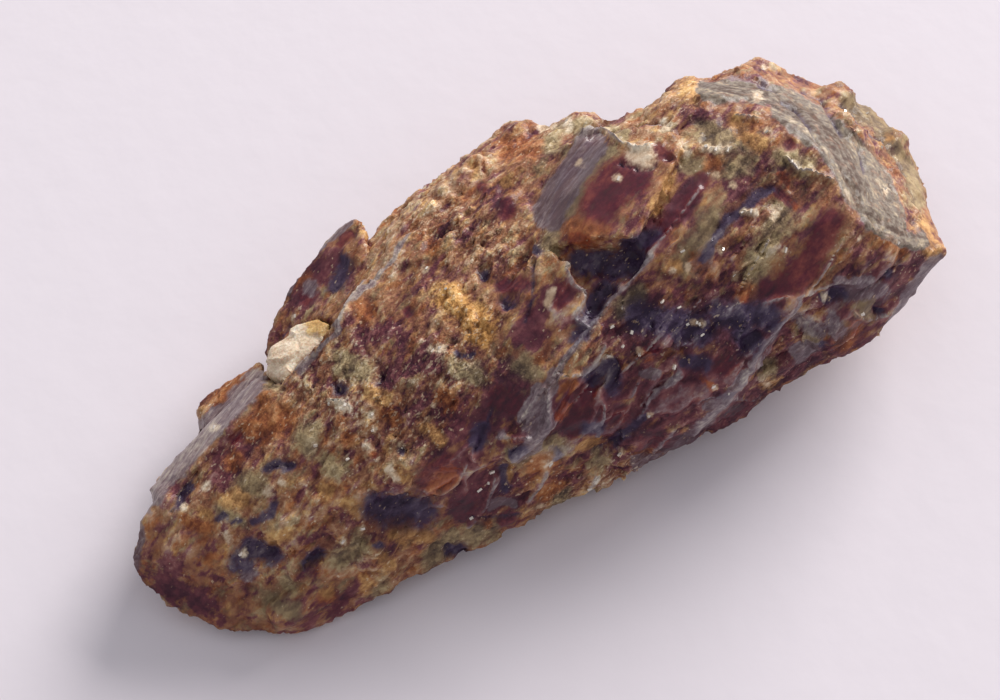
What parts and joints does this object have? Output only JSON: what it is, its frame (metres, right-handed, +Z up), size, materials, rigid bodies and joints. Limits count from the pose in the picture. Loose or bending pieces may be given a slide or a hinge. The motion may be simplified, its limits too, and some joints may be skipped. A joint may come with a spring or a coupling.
{
  "type": "painite crystal",
  "caption": "Elongated composite painite crystal: dark red-brown bladed prism that tapers to one end, with a sloping end face and a pale calcite grain in a cleft.",
  "frame": {"origin": "on the surface the crystal lies on, under the middle of its bounding box", "axes": "+X along the crystal's long axis, from its tapering end to its big sloping end face; +Y towards the edge with the calcite grain; +Z up, away from the flat underside"},
  "size_m": [0.0214, 0.0098, 0.0055],
  "materials": {
    "painite": "satin",
    "calcite": "satin"
  },
  "bodies": {
    "root": {"painite_crystal": "painite", "calcite_grain": "calcite"}
  },
  "joints": []
}
